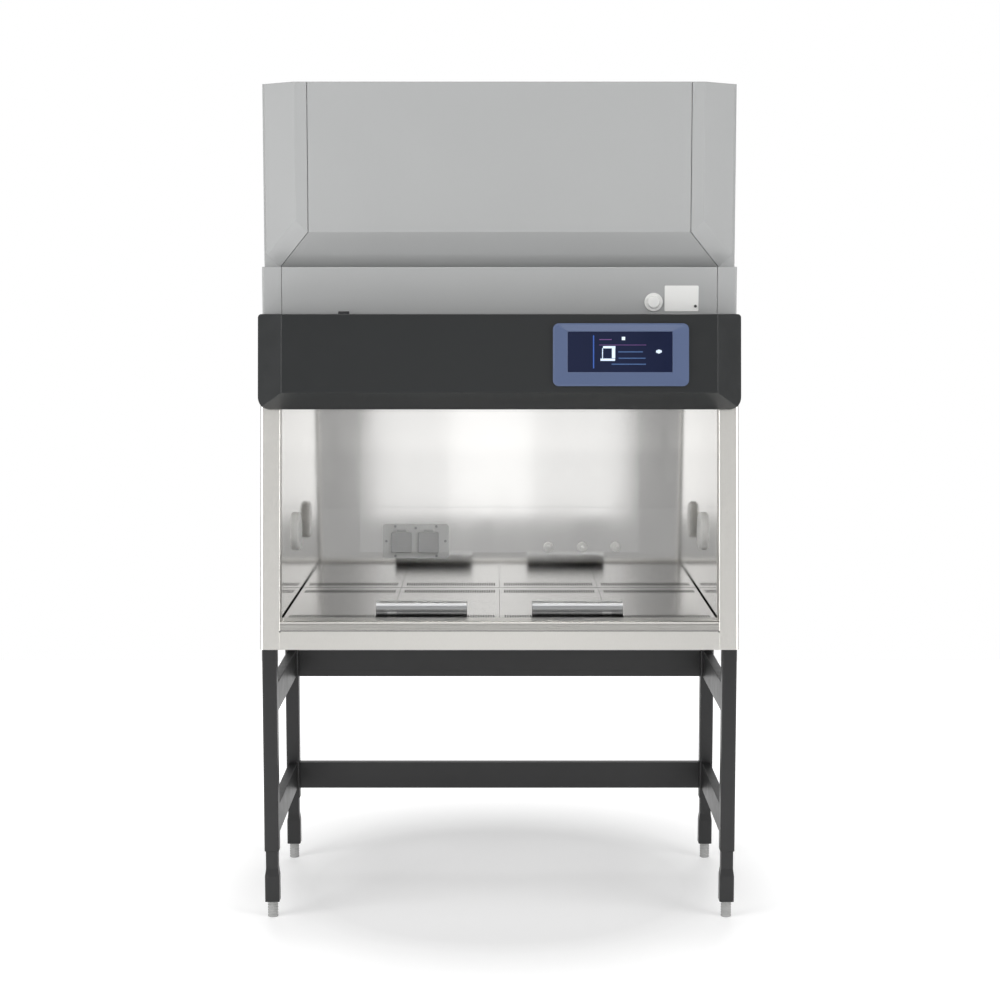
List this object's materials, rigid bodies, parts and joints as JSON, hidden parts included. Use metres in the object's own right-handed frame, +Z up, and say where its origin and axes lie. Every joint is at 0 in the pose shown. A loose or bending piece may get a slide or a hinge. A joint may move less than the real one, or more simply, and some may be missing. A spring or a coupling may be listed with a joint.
{
  "type": "biological safety cabinet",
  "caption": "Floor-standing biological safety cabinet with a leaning sliding glass sash, steel work chamber, hinged control hood with a screen, filters and fan, on a tubular stand.",
  "frame": {"origin": "on the floor, midway between the sides and midway between the front and back of the whole cabinet", "axes": "+X to the viewer's right, +Y to the back, +Z up; the open front faces -Y"},
  "size_m": [1.31, 0.8, 2.302],
  "materials": {
    "casing_paint": "satin light grey",
    "black_stand_paint": "semi-gloss black",
    "hood_paint": "satin dark grey",
    "motor_paint": "satin dark grey",
    "front_steel": "brushed",
    "chamber_steel": "bright, fine grain",
    "duct_steel": "dull",
    "machined_steel": "turned",
    "rest_metal": "satin",
    "rail_aluminium": "anodised",
    "pulley_aluminium": "turned",
    "sash_glass": "clear",
    "screen_glass": "dark, glossy",
    "bezel_plastic": "satin blue-grey",
    "foot_plastic": "satin light grey",
    "plug_plastic": "satin white",
    "socket_plastic": "satin grey",
    "flap_plastic": "satin grey",
    "guide_plastic": "low-friction black",
    "lamp_plastic": "opal",
    "belt_rubber": "woven",
    "filter_paper": "pleated"
  },
  "bodies": {
    "cabinet": {"leg_front_left": "black_stand_paint", "leg_front_right": "black_stand_paint", "leg_rear_left": "black_stand_paint", "leg_rear_right": "black_stand_paint", "leg_extensions": "black_stand_paint", "stand_rails": "black_stand_paint", "front_frame": "front_steel", "side_panel_left": "casing_paint", "side_panel_right": "casing_paint", "back_panel": "casing_paint", "base_pan": "chamber_steel", "top_panel": "casing_paint", "upper_front_cover": "casing_paint", "upper_side_cover_left": "casing_paint", "upper_side_cover_right": "casing_paint", "lower_front_panel": "casing_paint", "corner_strip_left": "casing_paint", "corner_strip_right": "casing_paint", "test_port_plug": "plug_plastic", "front_header": "casing_paint", "sill": "front_steel", "work_tray_1": "chamber_steel", "work_tray_2": "chamber_steel", "work_tray_3": "chamber_steel", "work_tray_4": "chamber_steel", "arm_rests": "rest_metal", "back_wall": "chamber_steel", "side_wall_left": "chamber_steel", "side_wall_right": "chamber_steel", "ceiling_diffuser": "chamber_steel", "socket_plate": "socket_plastic", "blanking_plugs": "plug_plastic", "service_port_covers": "plug_plastic", "sash_guides": "guide_plastic", "sash_belts": "belt_rubber", "pulley_mounts": "machined_steel", "hinge_pins": "machined_steel", "lamp": "lamp_plastic", "supply_filter": "filter_paper", "exhaust_filter": "filter_paper", "plenum": "duct_steel", "fan_motor": "motor_paint"},
    "sash": {"sash_glass": "sash_glass", "sash_side_rail_left": "rail_aluminium", "sash_side_rail_right": "rail_aluminium"},
    "counterweight_left": {"counterweight_left": "machined_steel"},
    "counterweight_right": {"counterweight_right": "machined_steel"},
    "sash_shaft": {"sash_shaft": "machined_steel"},
    "lower_pulley_left": {"lower_pulley_left": "pulley_aluminium"},
    "lower_pulley_right": {"lower_pulley_right": "pulley_aluminium"},
    "hood": {"hood_shell": "hood_paint", "screen_bezel": "bezel_plastic", "screen_glass": "screen_glass"},
    "socket_flap_left": {"socket_flap_left": "flap_plastic"},
    "socket_flap_right": {"socket_flap_right": "flap_plastic"},
    "fan_wheel": {"fan_wheel": "duct_steel"},
    "foot_front_left": {"foot_front_left": "foot_plastic"},
    "foot_front_right": {"foot_front_right": "foot_plastic"},
    "foot_rear_left": {"foot_rear_left": "foot_plastic"},
    "foot_rear_right": {"foot_rear_right": "foot_plastic"}
  },
  "joints": [
    {"name": "sash_slide", "type": "slide", "parent": "cabinet", "child": "sash", "axis": [0, 0.1132, 0.9936], "range_m": [-0.18, 0.159]},
    {"name": "counterweight_left_slide", "type": "slide", "parent": "cabinet", "child": "counterweight_left", "axis": [0, 0.1132, 0.9936], "range_m": [-0.159, 0.18]},
    {"name": "counterweight_right_slide", "type": "slide", "parent": "cabinet", "child": "counterweight_right", "axis": [0, 0.1132, 0.9936], "range_m": [-0.159, 0.18]},
    {"name": "sash_shaft_turn", "type": "hinge", "parent": "cabinet", "child": "sash_shaft", "pos_m": [0, -0.1888, 1.70531], "axis": [-1, 0, 0], "range_deg": [-240, 220]},
    {"name": "lower_pulley_left_turn", "type": "hinge", "parent": "cabinet", "child": "lower_pulley_left", "pos_m": [0, -0.2805, 0.90052], "axis": [-1, 0, 0], "range_deg": [-240, 220]},
    {"name": "lower_pulley_right_turn", "type": "hinge", "parent": "cabinet", "child": "lower_pulley_right", "pos_m": [0, -0.2805, 0.90052], "axis": [-1, 0, 0], "range_deg": [-240, 220]},
    {"name": "hood_hinge", "type": "hinge", "parent": "cabinet", "child": "hood", "pos_m": [0, -0.26599, 1.664], "axis": [-1, 0, 0], "range_deg": [0, 60]},
    {"name": "socket_flap_left_hinge", "type": "hinge", "parent": "cabinet", "child": "socket_flap_left", "pos_m": [-0.296, 0.243, 1.017], "axis": [-1, 0, 0], "range_deg": [0, 110], "stiffness_Nm_per_rad": 0.02, "springref_deg": -11.46},
    {"name": "socket_flap_right_hinge", "type": "hinge", "parent": "cabinet", "child": "socket_flap_right", "pos_m": [-0.215, 0.243, 1.017], "axis": [-1, 0, 0], "range_deg": [0, 110], "stiffness_Nm_per_rad": 0.02, "springref_deg": -11.46},
    {"name": "fan_spin", "type": "hinge", "parent": "cabinet", "child": "fan_wheel", "pos_m": [0, 0.246, 1.957], "axis": [0, 1, 0], "continuous": true},
    {"name": "foot_front_left_turn", "type": "hinge", "parent": "cabinet", "child": "foot_front_left", "pos_m": [-0.633, -0.314, 0], "axis": [0, 0, 1], "continuous": true},
    {"name": "foot_rear_left_turn", "type": "hinge", "parent": "cabinet", "child": "foot_rear_left", "pos_m": [-0.633, 0.268, 0], "axis": [0, 0, 1], "continuous": true},
    {"name": "foot_front_right_turn", "type": "hinge", "parent": "cabinet", "child": "foot_front_right", "pos_m": [0.633, -0.314, 0], "axis": [0, 0, 1], "continuous": true},
    {"name": "foot_rear_right_turn", "type": "hinge", "parent": "cabinet", "child": "foot_rear_right", "pos_m": [0.633, 0.268, 0], "axis": [0, 0, 1], "continuous": true}
  ],
  "couplings": [
    {"joint": "counterweight_left_slide", "follows": "sash_slide", "ratio": -1},
    {"joint": "counterweight_right_slide", "follows": "sash_slide", "ratio": -1},
    {"joint": "sash_shaft_turn", "follows": "sash_slide", "rad_per_m": 22.727},
    {"joint": "lower_pulley_left_turn", "follows": "sash_slide", "rad_per_m": 22.727},
    {"joint": "lower_pulley_right_turn", "follows": "sash_slide", "rad_per_m": 22.727}
  ]
}
